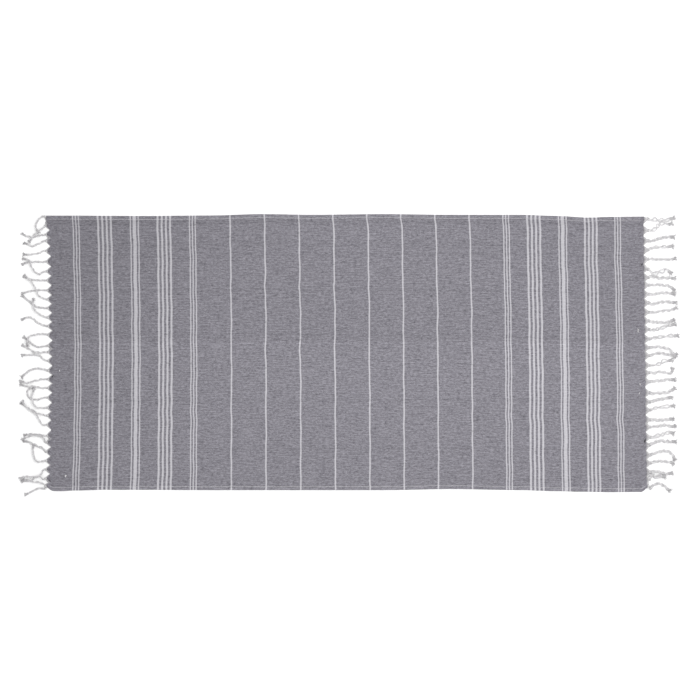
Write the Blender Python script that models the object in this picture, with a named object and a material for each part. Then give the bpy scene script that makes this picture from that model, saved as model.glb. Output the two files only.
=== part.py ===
"""A flat-woven hammam towel laid out on a surface: one sheet of cloth and the fringe along each end.

The frame has X along the towel, Y across it and Z up. The underside of the cloth lies on Z = 0, and the
origin is in the middle of it. The far edge is the one at +Y.
"""

import math
from typing import NamedTuple

import bmesh
import bpy
from mathutils import Vector
from mathutils.geometry import delaunay_2d_cdt

MM = 0.001

# Cloth
HALF_LENGTH = 0.864
HALF_WIDTH = 0.398
SHEET_THICKNESS = 1.2 * MM
HEM_WIDTH = 10 * MM
HEM_THICKNESS = 2.8 * MM
HEM_STEP = 1.2 * MM
END_BOW = 9 * MM
END_SKEW = 0.012
RIGHT_END = 0.8665
CORNER_ROUND = 14 * MM
CORNER_SETBACK = 8 * MM
COLUMN_SETBACK = 14 * MM
COLUMN_STEP = 0.06
CREASE_FADE = 0.15

# Fringe
TASSELS_PER_END = 31
TASSEL_PITCH = 26.15 * MM
FIRST_ROOTS = {-1: 0.395, 1: 0.389}
LIE_LINE = 0.868
NOTCH_DEPTH = 7 * MM
FRINGE_GAP = 0.5 * MM
SELVEDGE_WIDTH = 2.4 * MM
SELVEDGE_HEIGHT = 2.2 * MM
SELVEDGE_OVERRUN = 3 * MM
YARN_RADIUS = 2.3 * MM
TIP_RADIUS = 3.2 * MM
YARN_SIDES = 6
ROOT_RUN = 5 * MM
STEPS_PER_SPAN = 1.3
LEAST_STEPS = 5
RISE_SHARE = 0.4
SWELL_SHARE = 0.4
SURFACE_CLEARANCE = 0.1 * MM


class Edge(NamedTuple):
    """How far each long edge wanders outward from its straight line, in mm, at a place along the towel."""

    along: float
    far: float
    near: float


class Crease(NamedTuple):
    """A soft lengthwise ridge left by folding: where it crosses X = 0, its slope, height and half-width."""

    across: float
    slope: float
    start: float
    end: float
    height: float
    half_width: float


class Tassel(NamedTuple):
    """One tassel: how far its root is off the even pitch, its lie, and how high it passes over a neighbour.

    The lie is a list of (out, side) points in mm: out from LIE_LINE, and from the root toward the far edge.
    """

    nudge: float
    lie: tuple
    over: float = 0


EDGES = (
    Edge(along=-0.87, far=1, near=0),
    Edge(along=-0.79, far=1, near=-1),
    Edge(along=-0.60, far=0, near=-3),
    Edge(along=-0.40, far=1, near=-2),
    Edge(along=-0.25, far=5, near=-2),
    Edge(along=-0.10, far=3, near=-2),
    Edge(along=0.10, far=5, near=-2),
    Edge(along=0.30, far=3, near=-5),
    Edge(along=0.50, far=3, near=-2),
    Edge(along=0.60, far=0, near=1),
    Edge(along=0.70, far=-5, near=3),
    Edge(along=0.76, far=-3, near=4),
    Edge(along=0.88, far=-2, near=3),
)

CREASES = (
    Crease(across=0.283, slope=0.004, start=-0.84, end=0.10, height=1.0 * MM, half_width=9 * MM),
    Crease(across=0.180, slope=-0.004, start=-0.84, end=0.84, height=2.0 * MM, half_width=9 * MM),
    Crease(across=0.050, slope=-0.010, start=-0.84, end=0.84, height=1.6 * MM, half_width=11 * MM),
    Crease(across=-0.138, slope=0.002, start=-0.60, end=0.84, height=1.0 * MM, half_width=9 * MM),
    Crease(across=-0.278, slope=0.000, start=-0.30, end=0.84, height=0.9 * MM, half_width=9 * MM),
)

LEFT_TASSELS = (
    Tassel(1, ((15, 1), (29, -11), (36, -27), (33, -38), (27, -48)), over=5),
    Tassel(1, ((15, -8), (32, -19), (46, -35), (55, -50)), over=3),
    Tassel(1, ((23, -3), (44, -7), (64, -4), (77, 5))),
    Tassel(7, ((10, 2), (29, -7), (46, -14), (59, -8), (71, -3))),
    Tassel(6, ((12, 0), (26, -6), (46, -10), (73, -11))),
    Tassel(1, ((20, -1), (48, -1), (77, -7))),
    Tassel(-1, ((13, -1), (25, -9), (39, 0), (49, 16), (54, 30), (74, 38)), over=5),
    Tassel(-1, ((26, 0), (52, 3), (72, 12))),
    Tassel(-4, ((20, 1), (43, -1), (60, -4), (77, -10))),
    Tassel(-4, ((14, 3), (28, 12), (35, 28), (42, 42), (55, 57), (70, 70)), over=5),
    Tassel(-3, ((20, 1), (38, 6), (52, 17), (67, 29), (77, 39))),
    Tassel(-4, ((15, 4), (32, 14), (42, 28), (45, 42), (40, 54)), over=5),
    Tassel(-3, ((9, 1), (23, 6), (35, 13), (46, 23), (61, 25), (78, 19))),
    Tassel(-3, ((9, 3), (26, 3), (46, -1), (58, -8), (61, -20), (59, -33)), over=5),
    Tassel(-7, ((15, -3), (32, -4), (46, 4), (58, 14), (72, 26))),
    Tassel(0, ((15, 0), (35, -1), (49, 4), (64, 14), (78, 20))),
    Tassel(1, ((12, 3), (23, 13), (35, 17), (58, 17), (78, 17))),
    Tassel(-1, ((12, 3), (32, 6), (52, 1), (66, -9), (79, -20))),
    Tassel(0, ((20, 0), (37, -4), (53, -10), (68, -9), (82, -3)), over=3),
    Tassel(1, ((20, 0), (40, 4), (60, 4), (82, 10))),
    Tassel(-1, ((13, 0), (30, -6), (48, -4), (59, 5), (61, 16), (54, 26), (45, 22))),
    Tassel(-4, ((12, -1), (29, 0), (38, 6), (45, 17), (48, 30), (43, 45), (41, 57)), over=5),
    Tassel(-1, ((16, 3), (31, 7), (48, 17), (63, 25), (79, 38))),
    Tassel(-1, ((13, -1), (22, 7), (30, 22), (40, 35), (57, 46), (69, 58), (76, 70)), over=4),
    Tassel(-6, ((8, -1), (20, 1), (37, 3), (55, 4), (72, 1))),
    Tassel(0, ((9, 1), (13, 12), (25, 19), (45, 20), (62, 15), (77, 6)), over=4),
    Tassel(-1, ((9, 1), (15, 9), (29, 16), (46, 23), (61, 29), (72, 32))),
    Tassel(-1, ((9, 0), (26, -3), (36, 1), (42, 16), (44, 33), (42, 48)), over=5),
    Tassel(0, ((10, 0), (16, -4), (20, -14), (30, -20), (51, -22), (67, -20), (83, -29)), over=4),
    Tassel(0, ((12, -3), (22, 3), (29, 6), (43, -1), (61, -7), (78, -6))),
    Tassel(2, ((9, 4), (19, 11), (33, 14), (51, 17), (71, 21)), over=3),
    Tassel(23, ((13, 0), (25, 1), (39, -4), (54, -12), (68, -19))),
)

RIGHT_TASSELS = (
    Tassel(0, ((12, -3), (29, -1), (49, -3), (80, 3))),
    Tassel(-7, ((15, 0), (23, 4), (35, 16), (49, 20), (61, 17), (75, 20))),
    Tassel(-11, ((12, -1), (32, 5), (52, 10), (81, 11))),
    Tassel(-12, ((6, 1), (17, 7), (38, 10), (58, 10), (77, 12))),
    Tassel(-14, ((9, 3), (32, 1), (58, 1), (84, 3))),
    Tassel(-12, ((6, -6), (15, -16), (29, -15), (44, -9), (52, -4), (64, -10), (68, -19)), over=4),
    Tassel(-13, ((12, 3), (32, -1), (55, -1), (83, -3))),
    Tassel(-9, ((23, 1), (46, 0), (64, -3), (74, -9), (81, -17))),
    Tassel(-9, ((15, 0), (38, 3), (61, 4), (83, -1))),
    Tassel(-8, ((15, -4), (35, 1), (58, 3), (87, 0))),
    Tassel(-9, ((17, 0), (41, 3), (61, 5), (88, 12))),
    Tassel(-8, ((15, -3), (38, -4), (58, -4), (81, 4))),
    Tassel(-6, ((12, -3), (32, 1), (55, 7), (73, 13), (84, 12))),
    Tassel(-8, ((20, 3), (38, 6), (61, 9), (92, 9))),
    Tassel(-7, ((25, 2), (51, 0), (62, -4), (74, -15), (84, -29)), over=4),
    Tassel(-4, ((12, 1), (35, 7), (55, 4), (70, 1), (88, 3))),
    Tassel(-6, ((23, 1), (41, 6), (49, 13), (64, 13), (74, 19))),
    Tassel(-4, ((9, 4), (20, 1), (38, 6), (55, 3), (71, 2), (74, 17))),
    Tassel(-1, ((16, 1), (39, 3), (62, 6), (84, 5))),
    Tassel(-7, ((16, -3), (36, -1), (57, 1), (71, 7), (83, 12))),
    Tassel(-7, ((12, 0), (32, 6), (55, 10), (75, 14))),
    Tassel(-5, ((9, 0), (26, 6), (49, 10), (81, 12))),
    Tassel(-7, ((19, 0), (45, -1), (65, 2), (78, 3))),
    Tassel(-2, ((17, 1), (38, 3), (55, 6), (72, 1), (81, 8))),
    Tassel(-5, ((19, 1), (36, 6), (54, 10), (68, 14), (78, 7))),
    Tassel(-5, ((7, 3), (19, 10), (33, 14), (57, 14), (86, 13))),
    Tassel(-5, ((13, 3), (33, 9), (54, 13), (68, 7), (77, -4), (77, -16)), over=4),
    Tassel(-3, ((10, 1), (25, 6), (51, 6), (68, 4), (78, -3))),
    Tassel(-2, ((12, 1), (23, 3), (41, -1), (61, -4), (75, -2))),
    Tassel(0, ((7, 9), (17, 17), (24, 8), (32, 12), (44, 13), (52, 4)), over=2),
    Tassel(0, ((10, 4), (19, 13), (30, 17), (44, 13), (57, 4), (67, -7))),
)

CLOTH_COLOUR = (0.254, 0.246, 0.279, 1)
FRINGE_COLOUR = (0.60, 0.59, 0.60, 1)
CLOTH_ROUGHNESS = 0.95


def smooth_step(value):
    value = min(max(value, 0.0), 1.0)
    return value * value * (3 - 2 * value)


def edge_wander(along, column):
    """The outward wander of a long edge at this place along the towel, eased between the table's rows."""
    for before, after in zip(EDGES, EDGES[1:]):
        if along <= after.along:
            break
    share = smooth_step((along - before.along) / (after.along - before.along))
    start, end = getattr(before, column), getattr(after, column)
    return (start + (end - start) * share) * MM


def far_edge(along):
    return HALF_WIDTH + edge_wander(along, "far")


def near_edge(along):
    """The near long edge, which turns in at both corners."""
    corner = max(0.0, abs(along) - (HALF_LENGTH - CORNER_ROUND)) / CORNER_ROUND
    return -HALF_WIDTH - edge_wander(along, "near") + 0.5 * CORNER_ROUND * min(corner, 1.2) ** 2


def end_line(side, across):
    """X of the cloth's end, before its notches: the left end bows inward and the right end runs askew."""
    if side < 0:
        return -HALF_LENGTH - 6 * MM + END_BOW * math.cos(0.5 * math.pi * across / HALF_WIDTH)
    return RIGHT_END - END_SKEW * across


def root_places(side, tassels):
    """Y of each tassel's root, from the far edge to the near one."""
    first = FIRST_ROOTS[side]
    return [first - TASSEL_PITCH * row + tassel.nudge * MM for row, tassel in enumerate(tassels)]


def end_outline(side, tassels):
    """The zigzag end of the cloth from far to near: a point at each root and a notch between roots."""
    roots = root_places(side, tassels[:TASSELS_PER_END])
    points = []
    for root, following in zip(roots, roots[1:]):
        middle = (root + following) / 2
        points.append(Vector((end_line(side, root), root)))
        points.append(Vector((end_line(side, middle) - side * NOTCH_DEPTH, middle)))
    points.append(Vector((end_line(side, roots[-1]), roots[-1])))
    return points


def column_places():
    """X of each column of the cloth's mesh, clear of the zigzag ends."""
    reach = HALF_LENGTH - NOTCH_DEPTH - COLUMN_SETBACK
    count = round(2 * reach / COLUMN_STEP)
    return [-reach + 2 * reach * column / count for column in range(count + 1)]


def crease_line(crease, along):
    return crease.across + crease.slope * along


def crease_lift(along, across):
    """How far the creases lift the sheet off the surface here."""
    lift = 0.0
    for crease in CREASES:
        offset = abs(across - crease_line(crease, along)) / crease.half_width
        from_end = min(along - crease.start, crease.end - along)
        lift += crease.height * smooth_step(from_end / CREASE_FADE) * (1 - smooth_step(offset))
    return lift


def cloth_thickness(along, across):
    """The thickness here: a hem is the same cloth turned over twice along each long edge."""
    from_edge = min(far_edge(along) - across, across - near_edge(along))
    into_hem = smooth_step((HEM_WIDTH + HEM_STEP - from_edge) / HEM_STEP)
    return SHEET_THICKNESS + (HEM_THICKNESS - SHEET_THICKNESS) * into_hem


def mesh_rows():
    """The lengthwise lines of the cloth's mesh, each a function of the place along the towel."""
    rows = [
        lambda along: far_edge(along) - HEM_WIDTH,
        lambda along: far_edge(along) - HEM_WIDTH - HEM_STEP,
        lambda along: near_edge(along) + HEM_WIDTH,
        lambda along: near_edge(along) + HEM_WIDTH + HEM_STEP,
    ]
    for crease in CREASES:
        for share in (-1, -0.5, 0, 0.5, 1):
            offset = share * crease.half_width
            rows.append(lambda along, crease=crease, offset=offset: crease_line(crease, along) + offset)
    return rows


def cloth_triangles():
    """Points in the plane and triangles of the cloth, held to its outline, hems and creases."""
    columns = column_places()
    left = end_outline(-1, LEFT_TASSELS)
    right = end_outline(1, RIGHT_TASSELS)
    far = [Vector((along, far_edge(along))) for along in columns]
    near = [Vector((along, near_edge(along))) for along in columns]
    far_left = Vector((left[0].x, far_edge(left[0].x)))
    far_right = Vector((right[0].x, far_edge(right[0].x)))
    near_left = Vector((left[-1].x + CORNER_SETBACK, near_edge(left[-1].x + CORNER_SETBACK)))
    near_right = Vector((right[-1].x - CORNER_SETBACK, near_edge(right[-1].x - CORNER_SETBACK)))
    outline = [far_left, *left, near_left, *near, near_right, *reversed(right), far_right, *reversed(far)]
    points = list(outline)
    edges = [(index, (index + 1) % len(outline)) for index in range(len(outline))]
    for row in mesh_rows():
        first = len(points)
        points += [Vector((along, row(along))) for along in columns]
        edges += [(index, index + 1) for index in range(first, len(points) - 1)]
    inside_only = 1
    flat_points, _, faces, _, _, _ = delaunay_2d_cdt(points, edges, [], inside_only, 1e-7)
    return flat_points, faces


def add_material(obj, name, colour):
    material = bpy.data.materials.new(name)
    material.use_nodes = True
    shader = material.node_tree.nodes["Principled BSDF"]
    shader.inputs["Base Color"].default_value = colour
    shader.inputs["Roughness"].default_value = CLOTH_ROUGHNESS
    shader.inputs["Metallic"].default_value = 0
    obj.data.materials.append(material)


def add_object(name, mesh_builder, towel):
    """A mesh object from a finished bmesh, under the towel's empty."""
    mesh = bpy.data.meshes.new(name)
    mesh_builder.to_mesh(mesh)
    mesh_builder.free()
    obj = bpy.data.objects.new(name, mesh)
    bpy.context.scene.collection.objects.link(obj)
    obj.parent = towel
    return obj


def close_sheet(builder, lower, upper, faces):
    """Faces over and under a sheet, and a wall along each edge that only one face has."""
    sides = {}
    for face in faces:
        builder.faces.new([upper[corner] for corner in face])
        builder.faces.new([lower[corner] for corner in reversed(face)])
        for start, end in zip(face, face[1:] + face[:1]):
            sides[(start, end)] = True
    for start, end in sides:
        if (end, start) not in sides:
            builder.faces.new([lower[start], lower[end], upper[end], upper[start]])


def make_cloth(towel):
    """The woven sheet with a hem along each long edge and a zigzag of gathered warp at each end."""
    points, faces = cloth_triangles()
    builder = bmesh.new()
    lower = [builder.verts.new((point.x, point.y, crease_lift(point.x, point.y))) for point in points]
    upper = []
    for vert in lower:
        along, across, lift = vert.co
        upper.append(builder.verts.new((along, across, lift + cloth_thickness(along, across))))
    close_sheet(builder, lower, upper, [list(face) for face in faces])
    cloth = add_object("cloth", builder, towel)
    add_material(cloth, "grey_cotton", CLOTH_COLOUR)
    return cloth


def smooth_route(points, steps):
    """Points read from a Catmull-Rom curve through the route's own points."""
    padded = [2 * points[0] - points[1], *points, 2 * points[-1] - points[-2]]
    route = []
    for step in range(steps + 1):
        place = step / steps * (len(points) - 1)
        span = min(int(place), len(points) - 2)
        share = place - span
        before, start, end, after = padded[span : span + 4]
        route.append(
            0.5
            * (
                2 * start
                + (end - before) * share
                + (2 * before - 5 * start + 4 * end - after) * share**2
                + (3 * start - 3 * end + after - before) * share**3
            )
        )
    return route


def tassel_route(side, root, tassel):
    """The middle line of a tassel lying on the surface, or passing over the tassel beside it."""
    start = Vector((end_line(side, root) + side * (FRINGE_GAP + SELVEDGE_WIDTH / 2), root, 0))
    points = [start]
    if tassel.lie[0][0] * MM > 2 * ROOT_RUN:
        points.append(start + Vector((side * ROOT_RUN, 0, 0)))
    for out, across in tassel.lie:
        points.append(Vector((side * (LIE_LINE + out * MM), root + across * MM, 0)))
    steps = max(LEAST_STEPS, round(STEPS_PER_SPAN * (len(points) - 1)))
    route = smooth_route(points, steps)
    for index, point in enumerate(route):
        share = index / (len(route) - 1)
        point.z = YARN_RADIUS + tassel.over * MM * smooth_step(share / RISE_SHARE)
    return route


def tube(builder, route):
    """A closed tube along the route that swells to the knotted tip, with a flat side down."""
    rings = []
    for index, point in enumerate(route):
        ahead = route[min(index + 1, len(route) - 1)] - route[max(index - 1, 0)]
        across = Vector((-ahead.y, ahead.x, 0)).normalized()
        swell = smooth_step(1 - (1 - index / (len(route) - 1)) / SWELL_SHARE)
        radius = YARN_RADIUS + (TIP_RADIUS - YARN_RADIUS) * swell
        ring = []
        for side in range(YARN_SIDES):
            angle = 2 * math.pi * (side + 0.5) / YARN_SIDES - math.pi / 2
            height = max(point.z + radius * math.sin(angle), SURFACE_CLEARANCE)
            ring.append(builder.verts.new((*(point + across * radius * math.cos(angle)).xy, height)))
        rings.append(ring)
    for ring, following in zip(rings, rings[1:]):
        for side in range(YARN_SIDES):
            beside = (side + 1) % YARN_SIDES
            builder.faces.new([ring[side], following[side], following[beside], ring[beside]])
    builder.faces.new(rings[0])
    builder.faces.new(reversed(rings[-1]))


def selvedge(side, tassels):
    """The strip of gathered warp that follows the cloth's zigzag end and carries the tassels."""
    line = end_outline(side, tassels)
    line.append(line[-1] - Vector((0, SELVEDGE_OVERRUN)))
    builder = bmesh.new()
    rings = []
    for point in line:
        inner = point.x + side * FRINGE_GAP
        outer = inner + side * SELVEDGE_WIDTH
        corners = ((inner, 0), (outer, 0), (outer, SELVEDGE_HEIGHT), (inner, SELVEDGE_HEIGHT))
        rings.append([builder.verts.new((x, point.y, z)) for x, z in corners])
    for ring, following in zip(rings, rings[1:]):
        for corner in range(4):
            beside = (corner + 1) % 4
            builder.faces.new([ring[corner], following[corner], following[beside], ring[beside]])
    builder.faces.new(rings[0])
    builder.faces.new(reversed(rings[-1]))
    bmesh.ops.recalc_face_normals(builder, faces=builder.faces)
    return builder


def make_fringe(name, side, tassels, towel):
    """One comb: the gathered warp along the cloth's end with its twisted tassels, united into one body."""
    fringe = add_object(name, selvedge(side, tassels), towel)
    add_material(fringe, f"{name}_yarn", FRINGE_COLOUR)
    teeth = bpy.data.collections.new(f"{name}_teeth")
    bpy.context.scene.collection.children.link(teeth)
    for root, tassel in zip(root_places(side, tassels), tassels):
        builder = bmesh.new()
        tube(builder, tassel_route(side, root, tassel))
        bmesh.ops.recalc_face_normals(builder, faces=builder.faces)
        tooth = add_object(f"{name}_tooth", builder, towel)
        bpy.context.scene.collection.objects.unlink(tooth)
        teeth.objects.link(tooth)
        tooth.hide_render = True
        tooth.display_type = "WIRE"
    union = fringe.modifiers.new("Teeth", "BOOLEAN")
    union.operation = "UNION"
    union.operand_type = "COLLECTION"
    union.collection = teeth
    union.solver = "EXACT"
    return fringe


def main():
    for obj in list(bpy.data.objects):
        bpy.data.objects.remove(obj)
    towel = bpy.data.objects.new("hammam_towel", None)
    bpy.context.scene.collection.objects.link(towel)
    make_cloth(towel)
    make_fringe("fringe_left", -1, LEFT_TASSELS, towel)
    make_fringe("fringe_right", 1, RIGHT_TASSELS, towel)


main()
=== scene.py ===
"""The looks of a grey hammam towel with pale crosswise stripes: its cloth, hems, stitching and tassels.

X runs along the towel, Y across it and Z up from the surface that it lies on. The far edge is at +Y.
"""

import math
import random
from typing import NamedTuple

import bpy
import numpy as np
from bpy.props import EnumProperty, FloatProperty, FloatVectorProperty, IntProperty, PointerProperty
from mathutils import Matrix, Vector


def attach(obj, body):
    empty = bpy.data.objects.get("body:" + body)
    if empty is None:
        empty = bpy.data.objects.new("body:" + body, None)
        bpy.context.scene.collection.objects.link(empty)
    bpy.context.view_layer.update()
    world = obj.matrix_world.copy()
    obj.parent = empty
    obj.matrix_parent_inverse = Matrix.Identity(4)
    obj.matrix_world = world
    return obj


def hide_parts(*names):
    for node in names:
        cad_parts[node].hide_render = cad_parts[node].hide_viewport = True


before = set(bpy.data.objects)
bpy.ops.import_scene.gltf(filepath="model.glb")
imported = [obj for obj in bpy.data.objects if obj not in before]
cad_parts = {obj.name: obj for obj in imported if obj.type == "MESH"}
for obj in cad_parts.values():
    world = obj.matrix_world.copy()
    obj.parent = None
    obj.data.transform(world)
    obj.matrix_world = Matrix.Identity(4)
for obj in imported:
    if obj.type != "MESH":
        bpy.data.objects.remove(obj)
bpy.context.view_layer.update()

bl_info = {
    "name": "Hammam towel",
    "version": (1, 0, 0),
    "blender": (4, 5, 0),
    "location": "3D View > Sidebar > Towel",
    "description": "Builds a flat-woven hammam towel with hems, stitching and twisted tassels",
    "category": "Add Mesh",
}

MM = 0.001

# The cloth's plan, as the frame has it.
HALF_LENGTH = 0.864
HALF_WIDTH = 0.398
RIGHT_END = 0.8665
END_BOW = 9 * MM
END_SKEW = 0.012
CORNER_ROUND = 14 * MM

# How far the cloth's ends stand out at each tassel's root, and the notch between two roots, by end.
SCALLOP_TIP = {-1: 4.5 * MM, 1: -1.8 * MM}
NOTCH_DEPTH = {-1: 10.5 * MM, 1: 2.8 * MM}

# The weave's own length, and how far in from its ends it follows the end line and is drawn into scallops.
WEAVE_END = 0.867
END_BLEND = 75 * MM
DRAWN_IN = 26 * MM

# The spacing of the cloth's mesh.
END_STRIP = 30 * MM
END_COLUMNS = 14
MIDDLE_COLUMNS = 186
ROW_SPACING = 4.36 * MM

# The tassels' roots and routes, as the frame has them. The left end has one tassel more, close to its last.
TASSEL_PITCH = 26.15 * MM
TASSELS_PER_END = 31
FIRST_ROOTS = {-1: 0.395, 1: 0.389}
LIE_LINE = 0.868

# How far from the middle the gathered warp goes, the root knot's place, and the height that yarn lies at.
FAN_LIMIT = 0.385
KNOT_OUT = 4 * MM
LYING_HEIGHT = 2.8 * MM

# The colour of the dark thread ends.
DARK_THREAD = (0.030, 0.029, 0.033)

# The stage.
FLOOR_REACH = 14.0
LAMP_PLACE = (0.55, 0.45, 2.25)
LAMP_AIM = (0.4, 0, 0)
LAMP_SIZE = (1.6, 1.2)
VIEW_CENTRE = (7 * MM, 9 * MM)


class Edge(NamedTuple):
    """How far each long edge wanders outward from its straight line, in mm, at a place along the towel."""

    along: float
    far: float
    near: float


class Crease(NamedTuple):
    """A soft ridge left by folding: its Y at X = 0, its slope, its two ends, its height and half-width."""

    across: float
    slope: float
    start: float
    end: float
    height: float
    half_width: float


class PaintedLightLine(NamedTuple):
    """A lengthwise line of painted shade, or of painted highlight where its tone is above 1: its Y at X =
    0, slope, reach in mm and tone.
    """

    across: float
    slope: float
    reach: float
    tone: float


class Stripes(NamedTuple):
    """A run of pale weft stripes, in mm: its middle, the stripes' pitch, how many, and their width."""

    middle: float
    pitch: float
    count: int
    width: float


class Tassel(NamedTuple):
    """One tassel: how far its root is off the even pitch, its lie, its rise and how slack its plies are.

    The lie is a row of points in mm: how far out from LIE_LINE, and how far from the root toward +Y.
    """

    nudge: float
    lie: tuple
    over: float = 0
    loose: float = 0


class Twist(NamedTuple):
    """How one end's tassels are made, and how long and spread the loose ends past their knots are."""

    fullness: float
    slackness: float
    paleness: float
    brush_length: float
    brush_spread: float


class Kink(NamedTuple):
    """A place where the weft is pushed along the towel, in mm: its middle, its half-sizes and the push."""

    along: float
    across: float
    reach: float
    half_width: float
    push: float


class Speck(NamedTuple):
    """Lint or a thread end on the cloth: its place and size in mm, and its turn in degrees."""

    along: float
    across: float
    length: float
    thickness: float
    turn: float
    pale: bool


EDGES = (
    Edge(along=-0.87, far=0.5, near=0),
    Edge(along=-0.83, far=0.5, near=1),
    Edge(along=-0.79, far=0.5, near=-1),
    Edge(along=-0.70, far=0, near=-3),
    Edge(along=-0.60, far=-0.5, near=-3),
    Edge(along=-0.40, far=1, near=-2),
    Edge(along=-0.25, far=5, near=-2),
    Edge(along=-0.10, far=3, near=-2),
    Edge(along=0.10, far=5, near=-2),
    Edge(along=0.30, far=3, near=-5),
    Edge(along=0.50, far=3, near=-2),
    Edge(along=0.60, far=0, near=1),
    Edge(along=0.70, far=-5, near=3),
    Edge(along=0.76, far=-3, near=4),
    Edge(along=0.88, far=-2, near=3),
)

CREASES = (
    Crease(across=0.283, slope=0.004, start=-0.84, end=0.10, height=1.0 * MM, half_width=9 * MM),
    Crease(across=0.180, slope=-0.004, start=-0.84, end=0.84, height=2.0 * MM, half_width=9 * MM),
    Crease(across=0.050, slope=-0.010, start=-0.84, end=0.84, height=1.6 * MM, half_width=11 * MM),
    Crease(across=-0.138, slope=0.002, start=-0.60, end=0.84, height=1.0 * MM, half_width=9 * MM),
    Crease(across=-0.278, slope=0.000, start=-0.30, end=0.84, height=0.9 * MM, half_width=9 * MM),
)

# Painted shade along each crease, beside the farthest crease and just inside both hems, and a painted
# highlight beside the crease nearest the middle.
PAINTED_LIGHT_LINES = (
    *(PaintedLightLine(crease.across, crease.slope, reach=6, tone=0.94) for crease in CREASES),
    PaintedLightLine(across=0.026, slope=0, reach=4, tone=1.075),
    PaintedLightLine(across=-0.366, slope=0, reach=4, tone=0.93),
    PaintedLightLine(across=0.377, slope=0, reach=12, tone=0.915),
    PaintedLightLine(across=0.312, slope=0, reach=16, tone=0.96),
)

STRIPES = (
    Stripes(middle=-788, pitch=8.4, count=3, width=3.4),
    Stripes(middle=-704.5, pitch=12.5, count=4, width=5.6),
    Stripes(middle=-617.5, pitch=11.5, count=3, width=3.4),
    Stripes(middle=-617.5, pitch=12, count=1, width=9.6),
    Stripes(middle=-531.5, pitch=12.2, count=4, width=5.6),
    Stripes(middle=-448.5, pitch=8.3, count=3, width=3.4),
    Stripes(middle=-188, pitch=100.5, count=4, width=4.2),
    Stripes(middle=211, pitch=99, count=4, width=4.2),
    Stripes(middle=465.5, pitch=8.1, count=3, width=3.4),
    Stripes(middle=545.5, pitch=12.1, count=4, width=5.6),
    Stripes(middle=629, pitch=11, count=3, width=3.4),
    Stripes(middle=629, pitch=12, count=1, width=9.6),
    Stripes(middle=710.5, pitch=11.3, count=4, width=5.4),
    Stripes(middle=788.5, pitch=8, count=3, width=3.4),
)

KINKS = (
    Kink(along=-110, across=190, reach=190, half_width=16, push=-2.6),
    Kink(along=60, across=118, reach=330, half_width=30, push=1.6),
    Kink(along=-90, across=8, reach=190, half_width=28, push=-1.8),
    Kink(along=620, across=262, reach=300, half_width=42, push=-1.4),
    Kink(along=620, across=-185, reach=280, half_width=18, push=-2.0),
    Kink(along=-500, across=-170, reach=300, half_width=18, push=-1.2),
    Kink(along=200, across=390, reach=420, half_width=18, push=-3.0),
)

LEFT_TASSELS = (
    Tassel(1, ((15, 1), (29, -11), (36, -27), (33, -38), (27, -48)), over=5),
    Tassel(1, ((15, -8), (32, -19), (46, -35), (55, -50)), over=3),
    Tassel(1, ((23, -3), (44, -7), (64, -4), (77, 5)), loose=0.8),
    Tassel(7, ((10, 2), (29, -7), (46, -14), (59, -8), (71, -3))),
    Tassel(6, ((12, 0), (26, -6), (46, -10), (73, -11))),
    Tassel(1, ((20, -1), (48, -1), (77, -7))),
    Tassel(-1, ((13, -1), (25, -9), (39, 0), (49, 16), (54, 30), (74, 38)), over=5),
    Tassel(-1, ((26, 0), (52, 3), (72, 12))),
    Tassel(-4, ((20, 1), (43, -1), (60, -4), (77, -10))),
    Tassel(-4, ((14, 3), (28, 12), (35, 28), (42, 42), (55, 57), (70, 70)), over=5),
    Tassel(-3, ((20, 1), (38, 6), (52, 17), (67, 29), (77, 39))),
    Tassel(-4, ((15, 4), (32, 14), (42, 28), (45, 42), (40, 54)), over=5),
    Tassel(-3, ((9, 1), (23, 6), (35, 13), (46, 23), (61, 25), (78, 19))),
    Tassel(-3, ((9, 3), (26, 3), (46, -1), (58, -8), (61, -20), (59, -33)), over=5),
    Tassel(-7, ((15, -3), (32, -4), (46, 4), (58, 14), (72, 26))),
    Tassel(0, ((15, 0), (35, -1), (49, 4), (64, 14), (78, 20)), loose=0.5),
    Tassel(1, ((12, 3), (23, 13), (35, 17), (58, 17), (78, 17))),
    Tassel(-1, ((12, 3), (32, 6), (52, 1), (66, -9), (79, -20))),
    Tassel(0, ((20, 0), (37, -4), (53, -10), (68, -9), (82, -3)), over=3, loose=0.4),
    Tassel(1, ((20, 0), (40, 4), (60, 4), (82, 10))),
    Tassel(-1, ((13, 0), (30, -6), (48, -4), (59, 5), (61, 16), (54, 26), (45, 22))),
    Tassel(-4, ((12, -1), (29, 0), (38, 6), (45, 17), (48, 30), (43, 45), (41, 57)), over=5),
    Tassel(-1, ((16, 3), (31, 7), (48, 17), (63, 25), (79, 38))),
    Tassel(-1, ((13, -1), (22, 7), (30, 22), (40, 35), (57, 46), (69, 58), (76, 70)), over=4),
    Tassel(-6, ((8, -1), (20, 1), (37, 3), (55, 4), (72, 1)), loose=0.5),
    Tassel(0, ((9, 1), (13, 12), (25, 19), (45, 20), (62, 15), (77, 6)), over=4),
    Tassel(-1, ((9, 1), (15, 9), (29, 16), (46, 23), (61, 29), (72, 32)), loose=1.0),
    Tassel(-1, ((9, 0), (26, -3), (36, 1), (42, 16), (44, 33), (42, 48)), over=5),
    Tassel(0, ((10, 0), (16, -4), (20, -14), (30, -20), (51, -22), (67, -20), (83, -29)), over=4),
    Tassel(0, ((12, -3), (22, 3), (29, 6), (43, -1), (61, -7), (78, -6)), loose=0.6),
    Tassel(2, ((9, 4), (19, 11), (33, 14), (51, 17), (71, 21)), over=3, loose=0.3),
    Tassel(23, ((13, 0), (25, 1), (39, -4), (54, -12), (68, -19))),
)

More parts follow.
